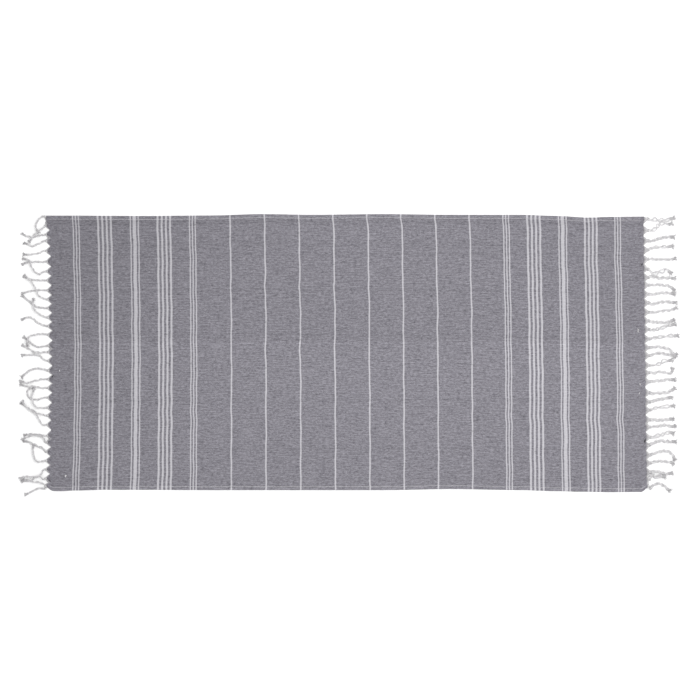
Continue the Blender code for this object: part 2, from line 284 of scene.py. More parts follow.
RIGHT_TASSELS = (
    Tassel(0, ((12, -3), (29, -1), (49, -3), (80, 3)), loose=1.6),
    Tassel(-7, ((15, 0), (23, 4), (35, 16), (49, 20), (61, 17), (75, 20)), loose=1.6),
    Tassel(-11, ((12, -1), (32, 5), (52, 10), (81, 11))),
    Tassel(-12, ((6, 1), (17, 7), (38, 10), (58, 10), (77, 12)), loose=0.5),
    Tassel(-14, ((9, 3), (32, 1), (58, 1), (84, 3))),
    Tassel(
        -12, ((6, -6), (15, -16), (29, -15), (44, -9), (52, -4), (64, -10), (68, -19)), over=4, loose=1.4
    ),
    Tassel(-13, ((12, 3), (32, -1), (55, -1), (83, -3)), loose=0.4),
    Tassel(-9, ((23, 1), (46, 0), (64, -3), (74, -9), (81, -17))),
    Tassel(-9, ((15, 0), (38, 3), (61, 4), (83, -1))),
    Tassel(-8, ((15, -4), (35, 1), (58, 3), (87, 0))),
    Tassel(-9, ((17, 0), (41, 3), (61, 5), (88, 12))),
    Tassel(-8, ((15, -3), (38, -4), (58, -4), (81, 4)), loose=0.3),
    Tassel(-6, ((12, -3), (32, 1), (55, 7), (73, 13), (84, 12)), loose=1.0),
    Tassel(-8, ((20, 3), (38, 6), (61, 9), (92, 9)), loose=1.0),
    Tassel(-7, ((25, 2), (51, 0), (62, -4), (74, -15), (84, -29)), over=4),
    Tassel(-4, ((12, 1), (35, 7), (55, 4), (70, 1), (88, 3))),
    Tassel(-6, ((23, 1), (41, 6), (49, 13), (64, 13), (74, 19)), loose=1.4),
    Tassel(-4, ((9, 4), (20, 1), (38, 6), (55, 3), (71, 2), (74, 17)), loose=0.4),
    Tassel(-1, ((16, 1), (39, 3), (62, 6), (84, 5))),
    Tassel(-7, ((16, -3), (36, -1), (57, 1), (71, 7), (83, 12))),
    Tassel(-7, ((12, 0), (32, 6), (55, 10), (75, 14))),
    Tassel(-5, ((9, 0), (26, 6), (49, 10), (81, 12)), loose=1.3),
    Tassel(-7, ((19, 0), (45, -1), (65, 2), (78, 3))),
    Tassel(-2, ((17, 1), (38, 3), (55, 6), (72, 1), (81, 8)), loose=0.5),
    Tassel(-5, ((19, 1), (36, 6), (54, 10), (68, 14), (78, 7)), loose=1.2),
    Tassel(-5, ((7, 3), (19, 10), (33, 14), (57, 14), (86, 13)), loose=0.3),
    Tassel(-5, ((13, 3), (33, 9), (54, 13), (68, 7), (77, -4), (77, -16)), over=4),
    Tassel(-3, ((10, 1), (25, 6), (51, 6), (68, 4), (78, -3)), loose=0.4),
    Tassel(-2, ((12, 1), (23, 3), (41, -1), (61, -4), (75, -2))),
    Tassel(0, ((7, 9), (17, 17), (24, 8), (32, 12), (44, 13), (52, 4)), over=2, loose=0.5),
    Tassel(0, ((10, 4), (19, 13), (30, 17), (44, 13), (57, 4), (67, -7))),
)

TASSELS = {-1: LEFT_TASSELS, 1: RIGHT_TASSELS}

TWISTS = {
    -1: Twist(fullness=0.92, slackness=0.1, paleness=0.72, brush_length=1.0, brush_spread=1.15),
    1: Twist(fullness=1.38, slackness=0.35, paleness=0.86, brush_length=1.12, brush_spread=1.6),
}

SPECKS = (
    Speck(along=-841, across=-50, length=5, thickness=2.2, turn=80, pale=True),
    Speck(along=-817, across=-355, length=6.5, thickness=4.2, turn=30, pale=True),
    Speck(along=844, across=69, length=14, thickness=2.2, turn=75, pale=True),
    Speck(along=848, across=-87, length=8, thickness=2.4, turn=95, pale=True),
    Speck(along=845, across=-113, length=5, thickness=2.6, turn=50, pale=True),
    Speck(along=859, across=258, length=7, thickness=3.2, turn=10, pale=False),
    Speck(along=863, across=-258, length=9, thickness=4.4, turn=65, pale=False),
    Speck(along=-862, across=-68, length=6, thickness=2.6, turn=60, pale=False),
    Speck(along=-862, across=-377, length=5, thickness=2.2, turn=20, pale=False),
)


class ClothSettings(bpy.types.PropertyGroup):
    """Sizes and colours of the woven cloth and its hems."""

    thickness: FloatProperty(
        name="Thickness", description="Thickness of the woven sheet", default=1.2 * MM, unit="LENGTH"
    )
    hem_width: FloatProperty(
        name="Hem width", description="Width of the turned hem", default=11.4 * MM, unit="LENGTH"
    )
    hem_thickness: FloatProperty(
        name="Hem thickness", description="Thickness of the turned hem", default=2.8 * MM, unit="LENGTH"
    )
    ripple: FloatProperty(
        name="Ripple", description="Height of the cloth's small waves", default=0.5 * MM, unit="LENGTH"
    )
    yarn_pitch: FloatProperty(
        name="Yarn pitch",
        description="Distance between neighbouring yarns",
        default=1.5 * MM,
        unit="LENGTH",
    )
    warp_colour: FloatVectorProperty(
        name="Warp",
        description="Colour of the lengthwise yarn",
        default=(0.325, 0.315, 0.351),
        subtype="COLOR",
    )
    weft_colour: FloatVectorProperty(
        name="Weft",
        description="Colour of the crosswise yarn",
        default=(0.074, 0.070, 0.084),
        subtype="COLOR",
    )
    stripe_colour: FloatVectorProperty(
        name="Stripe",
        description="Colour of the pale stripes",
        default=(0.495, 0.485, 0.516),
        subtype="COLOR",
    )


class TasselSettings(bpy.types.PropertyGroup):
    """Sizes and colours of the twisted tassels."""

    ply_radius: FloatProperty(
        name="Ply radius",
        description="Radius of each of the two plies",
        default=1.6 * MM,
        unit="LENGTH",
    )
    twist_pitch: FloatProperty(
        name="Twist pitch",
        description="Length of one full turn of the twist",
        default=17 * MM,
        unit="LENGTH",
    )
    brush_length: FloatProperty(
        name="Brush length",
        description="Length of the loose ends past the knot",
        default=11 * MM,
        unit="LENGTH",
    )
    brush_strands: IntProperty(
        name="Brush strands", description="Loose yarn ends past each knot", default=14, min=4, max=20
    )
    fan_strands: IntProperty(
        name="Fan strands",
        description="Warp yarns gathered into each tassel",
        default=12,
        min=4,
        max=16,
    )
    pale_colour: FloatVectorProperty(
        name="Pale yarn",
        description="Colour of the pale yarn",
        default=(0.69, 0.68, 0.69),
        subtype="COLOR",
    )
    grey_colour: FloatVectorProperty(
        name="Grey yarn",
        description="Colour of the grey yarn",
        default=(0.40, 0.39, 0.41),
        subtype="COLOR",
    )


class StitchSettings(bpy.types.PropertyGroup):
    """Sizes and colour of the stitching along the hems."""

    length: FloatProperty(
        name="Stitch length", description="Length of one stitch", default=3.4 * MM, unit="LENGTH"
    )
    gap: FloatProperty(name="Gap", description="Gap between stitches", default=0.8 * MM, unit="LENGTH")
    thickness: FloatProperty(
        name="Thread thickness", description="Thickness of the thread", default=1.1 * MM, unit="LENGTH"
    )
    colour: FloatVectorProperty(
        name="Thread", description="Colour of the thread", default=(0.76, 0.75, 0.78), subtype="COLOR"
    )


class StageSettings(bpy.types.PropertyGroup):
    """The floor, the light and the camera."""

    view_width: FloatProperty(
        name="View width", description="Width that the camera takes in", default=2.03, unit="LENGTH"
    )
    camera_height: FloatProperty(
        name="Camera height", description="Height of the camera", default=12, unit="LENGTH"
    )
    floor_colour: FloatVectorProperty(
        name="Floor", description="Colour of the floor", default=(0.97, 0.97, 0.97), subtype="COLOR"
    )
    soft_light: FloatProperty(name="Soft light", description="Strength of the even light", default=0.98)
    key_light: FloatProperty(
        name="Key light", description="Power of the large lamp", default=24, unit="POWER"
    )


# The plan of the cloth.


def smooth_step(value):
    value = np.clip(value, 0.0, 1.0)
    return value * value * (3 - 2 * value)


def edge_wander(along, column):
    """The outward wander of a long edge, eased between the table's rows."""
    places = np.array([edge.along for edge in EDGES])
    values = np.array([getattr(edge, column) for edge in EDGES]) * MM
    row = np.clip(np.searchsorted(places, along) - 1, 0, len(EDGES) - 2)
    share = smooth_step((along - places[row]) / (places[row + 1] - places[row]))
    return values[row] + (values[row + 1] - values[row]) * share


def far_edge(along):
    return HALF_WIDTH + edge_wander(along, "far")


def near_edge(along):
    """The near long edge, which turns in at both corners."""
    corner = np.maximum(0.0, np.abs(along) - (HALF_LENGTH - CORNER_ROUND)) / CORNER_ROUND
    return -HALF_WIDTH - edge_wander(along, "near") + 0.5 * CORNER_ROUND * np.minimum(corner, 1.2) ** 2


def end_line(side, across):
    """X of the cloth's end, without its scallops: the left end bows inward and the right end runs askew."""
    if side < 0:
        return -HALF_LENGTH - 6 * MM + END_BOW * np.cos(0.5 * math.pi * across / HALF_WIDTH)
    return RIGHT_END - END_SKEW * across


def root_places(side):
    """Y of each tassel's root, from the far edge to the near one."""
    first = FIRST_ROOTS[side]
    return [first - TASSEL_PITCH * row + tassel.nudge * MM for row, tassel in enumerate(TASSELS[side])]


def scallop(side, across):
    """How far the cloth's end stands out here: a blunt tip at each root, and a cusp between two roots."""
    roots = np.array(sorted(root_places(side)[:TASSELS_PER_END]))
    middles = (roots[1:] + roots[:-1]) / 2
    upper = np.clip(np.searchsorted(roots, across), 1, len(roots) - 1)
    half = (roots[upper] - roots[upper - 1]) / 2
    from_middle = np.clip(np.abs(across - middles[upper - 1]) / half, 0, 1)
    inside = 1 - smooth_step((np.abs(across) - FAN_LIMIT + 12 * MM) / (8 * MM))
    return SCALLOP_TIP[side] - NOTCH_DEPTH[side] * inside * (1 - from_middle) ** 1.25


def weft_drift(along, across):
    """How far the weft has shifted along the towel: bowed at the left, askew at the right, and kinked."""
    share = along / HALF_LENGTH
    height = across / HALF_WIDTH
    bow = (1.5 + 6 * np.maximum(0, -share) ** 2) * (1 - height**2) - 0.6
    askew = -(3.0 + 3.2 * share) * height
    drift = bow + askew
    for kink in KINKS:
        near = np.exp(-(((across / MM - kink.across) / kink.half_width) ** 2))
        drift = drift + kink.push * near * np.exp(-(((along / MM - kink.along) / kink.reach) ** 4))
    wave = np.sin(across * 41 + along * 7) * 0.5 + np.sin(across * 93 - along * 13 + 1.7) * 0.35
    return (drift + wave) * MM


def crease_lift(along, across):
    """How far the creases lift the sheet off the surface here."""
    lift = np.zeros_like(along)
    for crease in CREASES:
        line = crease.across + crease.slope * along
        wander = 2.5 * MM * np.sin(along * 9 + crease.across * 40)
        offset = np.abs(across - line - wander) / crease.half_width
        from_end = np.minimum(along - crease.start, crease.end - along)
        uneven = 0.75 + 0.25 * np.sin(along * 17 + crease.across * 60)
        lift += crease.height * uneven * smooth_step(from_end / 0.15) * (1 - smooth_step(offset))
    return lift


def ripples(along, across, height):
    """Small waves of cloth that doesn't lie quite flat, stronger along the hems and the ends."""
    long_wave = np.sin(across * 52 + 2.2 * np.sin(along * 3.1)) * np.sin(along * 4.3 + across * 5)
    short_wave = np.sin(across * 131 + 3 * np.sin(along * 6.7 + 1)) * np.sin(along * 11 - across * 17)
    hem_wave = np.sin(along * 210 + 2 * np.sin(along * 31)) * np.sin(along * 23)
    near_hem = np.exp(-(((HALF_WIDTH - np.abs(across)) / 0.016) ** 2))
    near_end = np.exp(-(((WEAVE_END - np.abs(along)) / 0.03) ** 2))
    end_wave = np.sin(across * 240 + 2.5 * np.sin(across * 37))
    total = 0.55 * long_wave + 0.3 * short_wave + 0.5 * near_hem * hem_wave + 0.5 * near_end * end_wave
    return height * np.maximum(total + 0.25, 0)


# Mesh helpers.


def build_mesh(name, points, faces, maps, smooth=True):
    """A mesh object from arrays. Each of the maps is a name and a pair of numbers for every corner."""
    mesh = bpy.data.meshes.new(name)
    corners = np.concatenate([np.asarray(part).reshape(-1) for part in faces])
    sizes = np.concatenate([np.full(len(part), np.asarray(part).shape[1]) for part in faces])
    mesh.vertices.add(len(points))
    mesh.vertices.foreach_set("co", np.asarray(points, np.float32).reshape(-1))
    mesh.loops.add(len(corners))
    mesh.loops.foreach_set("vertex_index", corners.astype(np.int32))
    mesh.polygons.add(len(sizes))
    mesh.polygons.foreach_set("loop_start", np.concatenate([[0], np.cumsum(sizes)[:-1]]).astype(np.int32))
    for map_name, values in maps.items():
        layer = mesh.uv_layers.new(name=map_name)
        layer.uv.foreach_set("vector", np.asarray(values, np.float32)[corners].reshape(-1))
    mesh.update(calc_edges=True)
    mesh.validate()
    mesh.polygons.foreach_set("use_smooth", np.full(len(mesh.polygons), smooth))
    obj = bpy.data.objects.new(name, mesh)
    bpy.context.scene.collection.objects.link(obj)
    return obj


def smooth_route(points, step):
    """Evenly spaced points of a Catmull-Rom curve through the route's own points."""
    points = np.asarray(points, float)
    padded = np.vstack([2 * points[0] - points[1], points, 2 * points[-1] - points[-2]])
    fine = []
    for span in range(len(points) - 1):
        before, start, end, after = padded[span : span + 4]
        for share in np.linspace(0, 1, 24, endpoint=False):
            fine.append(
                0.5
                * (
                    2 * start
                    + (end - before) * share
                    + (2 * before - 5 * start + 4 * end - after) * share**2
                    + (3 * start - 3 * end + after - before) * share**3
                )
            )
    fine = np.array(fine + [points[-1]])
    lengths = np.concatenate([[0], np.cumsum(np.linalg.norm(np.diff(fine, axis=0), axis=1))])
    places = np.linspace(0, lengths[-1], max(3, round(lengths[-1] / step) + 1))
    return np.stack([np.interp(places, lengths, fine[:, axis]) for axis in range(3)], axis=1), places


def frames_along(route):
    """A sideways and an upward unit vector at each point of a route that lies near the surface."""
    ahead = np.gradient(route, axis=0)
    ahead /= np.linalg.norm(ahead, axis=1, keepdims=True)
    sideways = np.cross(np.array([0.0, 0.0, 1.0]), ahead)
    sideways /= np.maximum(np.linalg.norm(sideways, axis=1, keepdims=True), 1e-9)
    return sideways, np.cross(ahead, sideways)


class YarnMesh:
    """Gathers many strands of yarn into the arrays of one joined mesh."""

    def __init__(self):
        self.points, self.quads, self.caps, self.strand_map, self.tone_map = [], [], [], [], []
        self.count = 0

    def add(self, route, radius, sides, tone):
        """One strand along a near-level route. Its tone runs from 0, grey yarn, to 1, pale yarn."""
        route = np.asarray(route, float)
        radius = np.broadcast_to(np.asarray(radius, float), len(route))
        sideways, upward = frames_along(route)
        angles = 2 * math.pi * np.arange(sides) / sides
        beside = sideways[:, None] * np.cos(angles)[None, :, None]
        above = upward[:, None] * np.sin(angles)[None, :, None]
        self.add_rings(route[:, None] + (beside + above) * radius[:, None, None], tone)

    def add_rings(self, points, tone):
        """One strand whose rings are already placed, with a flat cap at each end."""
        count, sides, _ = points.shape
        steps = np.linalg.norm(np.diff(points.mean(axis=1), axis=0), axis=1)
        lengths = np.concatenate([[0], np.cumsum(steps)])
        turn = np.abs(((np.arange(sides) / sides) * 2 + 1) % 2 - 1)
        strand = np.stack(np.broadcast_arrays(lengths[:, None], turn[None, :]), axis=-1)
        rows = np.arange(count - 1)[:, None] * sides
        column = np.arange(sides)[None, :]
        corner, beside = rows + column, rows + (column + 1) % sides
        quads = np.stack([corner, beside, beside + sides, corner + sides], axis=-1)
        last = (count - 1) * sides
        tones = np.repeat(np.broadcast_to(np.asarray(tone, float), count), sides)
        self.points.append(points.reshape(-1, 3))
        self.quads.append(quads.reshape(-1, 4) + self.count)
        self.caps.append(np.array([np.arange(sides)[::-1], last + np.arange(sides)]) + self.count)
        self.strand_map.append(strand.reshape(-1, 2))
        self.tone_map.append(np.stack([tones, np.full_like(tones, 0.5)], axis=-1))
        self.count += count * sides

    def build(self, name):
        caps = {}
        for cap in self.caps:
            caps.setdefault(cap.shape[1], []).append(cap)
        faces = [np.concatenate(self.quads)] + [np.concatenate(group) for group in caps.values()]
        points = np.concatenate(self.points)
        points[:, 2] = np.maximum(points[:, 2], 0.05 * MM)
        maps = {"Strand": np.concatenate(self.strand_map), "Tone": np.concatenate(self.tone_map)}
        return build_mesh(name, points, faces, maps)


# Shader helpers.


def join(tree, value, socket):
    """Links another node's output to this socket, or sets the socket to a plain value."""
    if isinstance(value, bpy.types.NodeSocket):
        tree.links.new(value, socket)
    else:
        socket.default_value = value


def calculate(tree, operation, *values):
    node = tree.nodes.new("ShaderNodeMath")
    node.operation = operation
    for value, socket in zip(values, node.inputs):
        join(tree, value, socket)
    return node.outputs[0]


def add(tree, first, second):
    return calculate(tree, "ADD", first, second)


def subtract(tree, first, second):
    return calculate(tree, "SUBTRACT", first, second)


def multiply(tree, first, *others):
    """The product of two or more values."""
    for other in others:
        first = calculate(tree, "MULTIPLY", first, other)
    return first


def divide(tree, first, second):
    return calculate(tree, "DIVIDE", first, second)


def absolute(tree, value):
    return calculate(tree, "ABSOLUTE", value)


def ramp(tree, value, low, high, start=0.0, end=1.0):
    """Smoothly remaps a value that runs from low to high."""
    node = tree.nodes.new("ShaderNodeMapRange")
    node.interpolation_type = "SMOOTHSTEP"
    for socket, setting in zip(node.inputs, (value, low, high, start, end)):
        join(tree, setting, socket)
    return node.outputs[0]


def blend(tree, share, first, second, mode="MIX"):
    node = tree.nodes.new("ShaderNodeMix")
    node.data_type = "RGBA"
    node.blend_type = mode
    join(tree, share, node.inputs[0])
    join(tree, first, node.inputs[6])
    join(tree, second, node.inputs[7])
    return node.outputs[2]


def noise(tree, vector, scale, detail=2.0, roughness=0.5):
    node = tree.nodes.new("ShaderNodeTexNoise")
    tree.links.new(vector, node.inputs["Vector"])
    join(tree, scale, node.inputs["Scale"])
    node.inputs["Detail"].default_value = detail
    node.inputs["Roughness"].default_value = roughness
    return node.outputs["Fac"]


def stretch(tree, vector, x, y):
    node = tree.nodes.new("ShaderNodeVectorMath")
    node.operation = "MULTIPLY"
    tree.links.new(vector, node.inputs[0])
    node.inputs[1].default_value = (x, y, 1)
    return node.outputs[0]


def map_coordinates(tree, name):
    node = tree.nodes.new("ShaderNodeUVMap")
    node.uv_map = name
    return node.outputs[0]


def split(tree, vector):
    node = tree.nodes.new("ShaderNodeSeparateXYZ")
    tree.links.new(vector, node.inputs[0])
    return node.outputs


def bump(tree, height, distance, strength):
    node = tree.nodes.new("ShaderNodeBump")
    node.inputs["Strength"].default_value = strength
    node.inputs["Distance"].default_value = distance
    tree.links.new(height, node.inputs["Height"])
    return node.outputs[0]


def new_group(name, inputs, outputs):
    """An empty shader group with named float, colour or vector sockets."""
    group = bpy.data.node_groups.new(name, "ShaderNodeTree")
    for direction, sockets in (("INPUT", inputs), ("OUTPUT", outputs)):
        for socket_name, kind in sockets.items():
            group.interface.new_socket(socket_name, in_out=direction, socket_type=f"NodeSocket{kind}")
    return group, group.nodes.new("NodeGroupInput").outputs, group.nodes.new("NodeGroupOutput").inputs


def use_group(tree, group, **values):
    """Places a group in a material. A value's name is its socket's name with _ for a space."""
    node = tree.nodes.new("ShaderNodeGroup")
    node.node_tree = group
    for name, value in values.items():
        join(tree, value, node.inputs[name.replace("_", " ")])
    return node.outputs


def stripe_run_group():
    """A mask of evenly spaced lines, Count of them, centred on Middle."""
    group = bpy.data.node_groups.get("Stripe run")
    if group:
        return group
    sockets = dict.fromkeys(("Place", "Middle", "Pitch", "Count", "Width", "Softness"), "Float")
    group, given, out = new_group("Stripe run", sockets, {"Mask": "Float"})
    half = multiply(group, given["Pitch"], given["Count"], 0.5)
    from_start = add(group, subtract(group, given["Place"], given["Middle"]), half)
    line = divide(group, from_start, given["Pitch"])
    off_line = absolute(group, subtract(group, calculate(group, "FRACT", line), 0.5))
    distance = multiply(group, off_line, given["Pitch"])
    half_width = multiply(group, given["Width"], 0.5)
    inner = subtract(group, half_width, given["Softness"])
    outer = add(group, half_width, given["Softness"])
    on_line = ramp(group, distance, inner, outer, 1.0, 0.0)
    after_start = calculate(group, "GREATER_THAN", line, 0.0)
    before_end = calculate(group, "LESS_THAN", line, given["Count"])
    group.links.new(multiply(group, on_line, after_start, before_end), out["Mask"])
    return group


def fibre_group():
    """Uneven spun fibre: a tone that varies slowly and fast, and the fast part alone as fuzz."""
    group = bpy.data.node_groups.get("Spun fibre")
    if group:
        return group
    sockets = {"Vector": "Vector", "Slow Scale": "Float", "Fast Scale": "Float"}
    group, given, out = new_group("Spun fibre", sockets, {"Tone": "Float", "Fuzz": "Float"})
    slow = noise(group, given["Vector"], given["Slow Scale"])
    fast = noise(group, given["Vector"], given["Fast Scale"], detail=3.0, roughness=0.65)
    tone = add(group, multiply(group, slow, 0.45), multiply(group, fast, 0.55))
    group.links.new(tone, out["Tone"])
    group.links.new(fast, out["Fuzz"])
    return group


def weave_group():
    """Plain weave: the height of the yarns' crowns, and whether the warp is the yarn on top."""
    group = bpy.data.node_groups.get("Plain weave")
    if group:
        return group
    outputs = {"Height": "Float", "Warp On Top": "Float"}
    group, given, out = new_group("Plain weave", {"Vector": "Vector", "Pitch": "Float"}, outputs)
    along, across, _ = split(group, given["Vector"])
    weft = divide(group, along, given["Pitch"])
    warp = divide(group, across, given["Pitch"])
    crowns = [
        calculate(group, "SINE", multiply(group, calculate(group, "FRACT", place), math.pi))
        for place in (weft, warp)
    ]
    group.links.new(multiply(group, *crowns), out["Height"])
    yarns = [calculate(group, "FLOOR", place) for place in (weft, warp)]
    on_top = calculate(group, "FLOORED_MODULO", add(group, *yarns), 2.0)
    group.links.new(on_top, out["Warp On Top"])
    return group


def new_material(name):
    material = bpy.data.materials.new(name)
    material.use_nodes = True
    shader = material.node_tree.nodes["Principled BSDF"]
    shader.inputs["Metallic"].default_value = 0.0
    shader.inputs["Specular IOR Level"].default_value = 0.12
    shader.inputs["Sheen Weight"].default_value = 0.12
    shader.inputs["Sheen Roughness"].default_value = 0.6
    return material, material.node_tree, shader


def stripe_mask(tree, weave, along):
    """All the pale stripes, with ragged edges."""
    jitter = noise(tree, stretch(tree, weave, 900, 260), 1.0, detail=1.0)
    ragged = offset_by(tree, along, jitter, 1.6 * MM)
    mask = 0.0
    for run in STRIPES:
        lines = use_group(
            tree,
            stripe_run_group(),
            Place=ragged,
            Middle=run.middle * MM,
            Pitch=run.pitch * MM,
            Count=run.count,
            Width=run.width * MM,
            Softness=0.5 * MM,
        )
        mask = calculate(tree, "MAXIMUM", lines["Mask"], mask)
    return mask


def cloth_material(settings):
    """Grey melange weave with pale stripes: pale warp streaks over a darker weft."""
    material, tree, shader = new_material("grey_striped_cotton")
    weave = map_coordinates(tree, "Weave")
    along, across, _ = split(tree, weave)
    mask = stripe_mask(tree, weave, along)
    plain = use_group(tree, weave_group(), Vector=weave, Pitch=settings.yarn_pitch)

    # Melange: flecks drawn out along the warp, with longer streaks between them.
    drawn_out = stretch(tree, weave, 0.42, 1)
    flecks = use_group(tree, fibre_group(), Vector=drawn_out, Slow_Scale=250.0, Fast_Scale=560.0)
    streaks = noise(tree, stretch(tree, weave, 0.08, 1), 280.0, detail=1.0)
    grain = ramp(tree, offset_by(tree, flecks["Tone"], streaks, 0.25), 0.22, 0.78)
    warp_share = offset_by(tree, grain, plain["Warp On Top"], 0.26)
    warp_share.node.use_clamp = True
    ground = blend(tree, warp_share, (*settings.weft_colour, 1), (*settings.warp_colour, 1))
    stripe_tone = ramp(tree, grain, 0.0, 1.0, 0.86, 1.06)
    stripe = blend(tree, 1.0, (*settings.stripe_colour, 1), combine(tree, stripe_tone), "MULTIPLY")
    colour = blend(tree, multiply(tree, mask, 0.97), ground, stripe)

    slubs = ramp(tree, noise(tree, stretch(tree, weave, 0.5, 1), 120.0, detail=0.0), 0.74, 0.84, 1.0, 0.72)
    wear = ramp(tree, noise(tree, stretch(tree, weave, 0.6, 1.6), 3.0), 0.2, 0.8, 0.98, 1.02)
    # wear and slubs are the cloth's own uneven tone; fold_shade adds painted shade and a painted highlight.
    shade = multiply(tree, wear, slubs, fold_shade(tree, along, across))
    colour = blend(tree, 1.0, colour, combine(tree, shade), "MULTIPLY")
    tree.links.new(colour, shader.inputs["Base Color"])
    tree.links.new(ramp(tree, flecks["Fuzz"], 0.2, 0.8, 0.84, 0.98), shader.inputs["Roughness"])
    yarn_height = add(tree, plain["Height"], multiply(tree, mask, 0.8))
    height = add(tree, yarn_height, multiply(tree, flecks["Tone"], 0.8))
    tree.links.new(bump(tree, height, 0.25 * MM, 0.7), shader.inputs["Normal"])
    return material


def offset_by(tree, value, pattern, amount):
    """Moves a value up and down by a pattern that runs from 0 to 1."""
    return add(tree, value, multiply(tree, subtract(tree, pattern, 0.5), amount))


def fold_shade(tree, along, across):
    """Painted shade and highlight: lines of painted shade and one of painted highlight, painted shade
    towards the left end and the far-left corner, a darker far half, and paler hems.
    """
    # Painted shade: the cloth darkens towards its left end and its far-left corner.
    painted_shade_left = ramp(tree, along, -0.87, -0.30, 0.945, 1.0)
    to_corner = subtract(tree, along, multiply(tree, across, 0.8))
    painted_shade_corner = ramp(tree, to_corner, -1.18, -0.30, 0.95, 1.0)
    dulled_far = ramp(tree, across, 0.020, 0.042, 1.0, 0.95)
    shade = multiply(tree, painted_shade_left, painted_shade_corner, dulled_far)
    # Lines of painted shade, and one of painted highlight, along the towel.
    for line in PAINTED_LIGHT_LINES:
        level = subtract(tree, across, multiply(tree, along, line.slope))
        away = absolute(tree, subtract(tree, level, line.across))
        shade = multiply(tree, shade, ramp(tree, away, 0.0, line.reach * MM, line.tone, 1.0))
    from_edge = subtract(tree, HALF_WIDTH, absolute(tree, across))
    return multiply(tree, shade, ramp(tree, from_edge, 10 * MM, 13 * MM, 1.05, 1.0))


def combine(tree, value):
    """The same value in all three channels."""
    node = tree.nodes.new("ShaderNodeCombineColor")
    for socket in node.inputs:
        tree.links.new(value, socket)
    return node.outputs[0]


def spun_yarn_group():
    """Fibres wound round a strand: how pale they are, their painted shade in the grooves of the twist and
    on the strand's flanks, and their height and roughness.
    """
    group = bpy.data.node_groups.get("Spun yarn")
    if group:
        return group
    inputs = {"Place": "Vector", **dict.fromkeys(("Length", "Turn", "Tone", "Fibre Turns"), "Float")}
    outputs = dict.fromkeys(("Paleness", "Shade", "Height", "Roughness"), "Float")
    group, given, out = new_group("Spun yarn", inputs, outputs)
    wound = multiply(group, given["Length"], given["Fibre Turns"])
    winding = add(group, multiply(group, given["Turn"], 3.0), wound)
    groove = absolute(group, calculate(group, "SINE", multiply(group, winding, math.pi)))
    fibre = use_group(group, fibre_group(), Vector=given["Place"], Slow_Scale=120.0, Fast_Scale=900.0)
    paleness = offset_by(group, given["Tone"], fibre["Tone"], 1.1)
    paleness.node.use_clamp = True
    flank = absolute(group, subtract(group, given["Turn"], 0.5))
    # Painted shade: darker in the grooves of the twist and on the strand's flanks.
    painted_groove_shade = ramp(group, groove, 0.0, 0.7, 0.85, 1.0)
    painted_flank_shade = ramp(group, flank, 0.16, 0.5, 1.0, 0.66)
    group.links.new(paleness, out["Paleness"])
    group.links.new(multiply(group, painted_groove_shade, painted_flank_shade), out["Shade"])
    fuzz = multiply(group, fibre["Fuzz"], 0.5)
    group.links.new(add(group, groove, fuzz), out["Height"])
    group.links.new(ramp(group, fibre["Fuzz"], 0.2, 0.8, 0.82, 0.97), out["Roughness"])
    return group


def yarn_material(name, pale, grey, fibre_turns):
    """Spun yarn of pale and grey fibres that make so many turns in a metre of it, with painted shade in its
    grooves and on its flanks. A name is built once.
    """
    if name in bpy.data.materials:
        return bpy.data.materials[name]
    material, tree, shader = new_material(name)
    length, turn, _ = split(tree, map_coordinates(tree, "Strand"))
    tone, _, _ = split(tree, map_coordinates(tree, "Tone"))
    place = tree.nodes.new("ShaderNodeTexCoord").outputs["Object"]
    strand = {"Length": length, "Turn": turn, "Tone": tone, "Fibre_Turns": fibre_turns}
    yarn = use_group(tree, spun_yarn_group(), Place=place, **strand)
    colour = blend(tree, yarn["Paleness"], (*grey, 1), (*pale, 1))
    # Painted shade in the grooves and on the flanks darkens the yarn's colour.
    colour = blend(tree, 1.0, colour, combine(tree, yarn["Shade"]), "MULTIPLY")
    tree.links.new(colour, shader.inputs["Base Color"])
    tree.links.new(yarn["Roughness"], shader.inputs["Roughness"])
    tree.links.new(bump(tree, yarn["Height"], 0.2 * MM, 0.8), shader.inputs["Normal"])
    return material


def floor_material(colour):
    """Matt pale paper with a faint mottle."""
    material, tree, shader = new_material("pale_floor")
    place = tree.nodes.new("ShaderNodeTexCoord").outputs["Object"]
    mottle = ramp(tree, noise(tree, place, 6.0), 0.3, 0.7, 0.985, 1.0)
    tinted = blend(tree, 1.0, (*colour, 1), combine(tree, mottle), "MULTIPLY")
    tree.links.new(tinted, shader.inputs["Base Color"])
    shader.inputs["Roughness"].default_value = 0.9
    shader.inputs["Sheen Weight"].default_value = 0.0
    return material


# The cloth.


def weave_columns():
    """Places of the mesh's columns along the weave: close together at the ends, wider apart between."""
    strip = np.linspace(0, END_STRIP, END_COLUMNS)[:-1]
    middle = np.linspace(END_STRIP - WEAVE_END, WEAVE_END - END_STRIP, MIDDLE_COLUMNS)
    return np.concatenate([strip - WEAVE_END, middle, (WEAVE_END - strip)[::-1]])


def weave_rows(settings):
    """Places of the mesh's rows across the weave: close together in the hems, even between."""
    inner = HALF_WIDTH - settings.hem_width - 2 * MM
    fold = HALF_WIDTH - np.array((0.0, 0.5, 1.6, 3.4, 5.4, 7.2)) * MM
    seam = HALF_WIDTH - settings.hem_width - np.array((-1.8, -1.2, -0.6, 0.0, 0.7)) * MM
    hem = np.concatenate([fold, seam])
    middle = np.linspace(inner, -inner, round(2 * inner / ROW_SPACING) + 1)
    return np.concatenate([hem, middle, -hem[::-1]])


